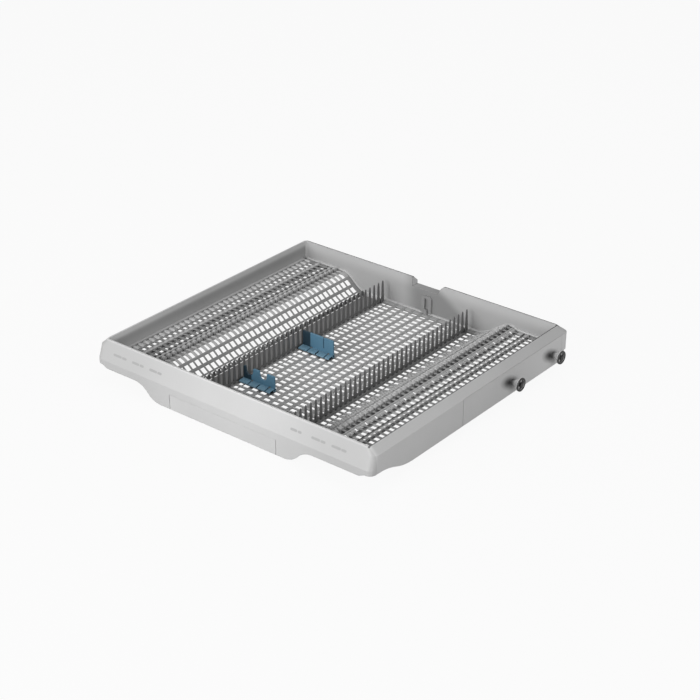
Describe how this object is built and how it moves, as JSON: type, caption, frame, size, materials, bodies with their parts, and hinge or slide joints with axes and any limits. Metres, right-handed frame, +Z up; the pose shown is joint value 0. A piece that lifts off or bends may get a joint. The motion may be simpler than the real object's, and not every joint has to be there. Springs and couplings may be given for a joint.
{
  "type": "dishwasher cutlery tray",
  "caption": "Flat pull-out cutlery tray of a built-in dishwasher: grey frame with rollers, perforated stepped inserts, folding tine rows and two blue hinged rests.",
  "frame": {"origin": "middle of the outer box on the surface the tray stands on", "axes": "+Z up, -Y the front with the grip panel, +X the right side seen from the front"},
  "size_m": [0.531, 0.46, 0.063],
  "materials": {
    "frame_grey": "fine satin moulded plastic",
    "ledge_grey": "moulded plastic",
    "insert_grey": "moulded plastic",
    "tine_grey": "moulded plastic",
    "guide_grey": "moulded plastic",
    "axle_grey": "moulded plastic",
    "roller_black": "low-friction plastic",
    "rest_blue": "blue moulded plastic",
    "bracket_grey": "moulded plastic"
  },
  "bodies": {
    "frame": {"tray_frame": "frame_grey", "front_grip_panel": "frame_grey", "left_runner_cover": "frame_grey", "right_runner_cover": "frame_grey", "right_insert": "insert_grey", "front_ledge": "ledge_grey", "rear_ledge": "ledge_grey", "left_ledge": "ledge_grey", "right_ledge": "ledge_grey", "bridge_rail": "insert_grey", "front_lift_guide": "guide_grey", "rear_lift_guide": "guide_grey", "roller_axles": "axle_grey"},
    "left_insert": {"left_insert": "insert_grey"},
    "middle_insert": {"middle_insert": "insert_grey", "front_lift_hook": "guide_grey", "rear_lift_hook": "guide_grey", "left_row_bearings": "tine_grey", "right_row_bearings": "tine_grey", "front_rest_bracket": "bracket_grey", "rear_rest_bracket": "bracket_grey"},
    "left_tine_row": {"left_tine_row": "tine_grey"},
    "right_tine_row": {"right_tine_row": "tine_grey"},
    "front_rest": {"front_rest": "rest_blue"},
    "rear_rest": {"rear_rest": "rest_blue"},
    "front_left_roller": {"front_left_roller": "roller_black"},
    "rear_left_roller": {"rear_left_roller": "roller_black"},
    "front_right_roller": {"front_right_roller": "roller_black"},
    "rear_right_roller": {"rear_right_roller": "roller_black"}
  },
  "joints": [
    {"name": "left_insert_slide", "type": "slide", "parent": "frame", "child": "left_insert", "axis": [1, 0, 0], "range_m": [0, 0.026]},
    {"name": "middle_insert_lift", "type": "slide", "parent": "frame", "child": "middle_insert", "axis": [0, 0, 1], "range_m": [0, 0.016]},
    {"name": "left_row_fold", "type": "hinge", "parent": "middle_insert", "child": "left_tine_row", "pos_m": [-0.0733, 0, 0.0138], "axis": [0, -1, 0], "range_deg": [0, 65]},
    {"name": "right_row_fold", "type": "hinge", "parent": "middle_insert", "child": "right_tine_row", "pos_m": [0.0852, 0, 0.0138], "axis": [0, 1, 0], "range_deg": [0, 65]},
    {"name": "front_rest_fold", "type": "hinge", "parent": "middle_insert", "child": "front_rest", "pos_m": [-0.0398, -0.117, 0.014], "axis": [-1, 0, 0], "range_deg": [0, 85]},
    {"name": "rear_rest_fold", "type": "hinge", "parent": "middle_insert", "child": "rear_rest", "pos_m": [-0.0398, 0.012, 0.014], "axis": [-1, 0, 0], "range_deg": [0, 85]},
    {"name": "front_left_roller_spin", "type": "hinge", "parent": "frame", "child": "front_left_roller", "pos_m": [-0.2629, 0.0862, 0.0308], "axis": [1, 0, 0], "continuous": true},
    {"name": "rear_left_roller_spin", "type": "hinge", "parent": "frame", "child": "rear_left_roller", "pos_m": [-0.2629, 0.189, 0.0308], "axis": [1, 0, 0], "continuous": true},
    {"name": "front_right_roller_spin", "type": "hinge", "parent": "frame", "child": "front_right_roller", "pos_m": [0.2629, 0.0862, 0.0308], "axis": [1, 0, 0], "continuous": true},
    {"name": "rear_right_roller_spin", "type": "hinge", "parent": "frame", "child": "rear_right_roller", "pos_m": [0.2629, 0.189, 0.0308], "axis": [1, 0, 0], "continuous": true}
  ]
}
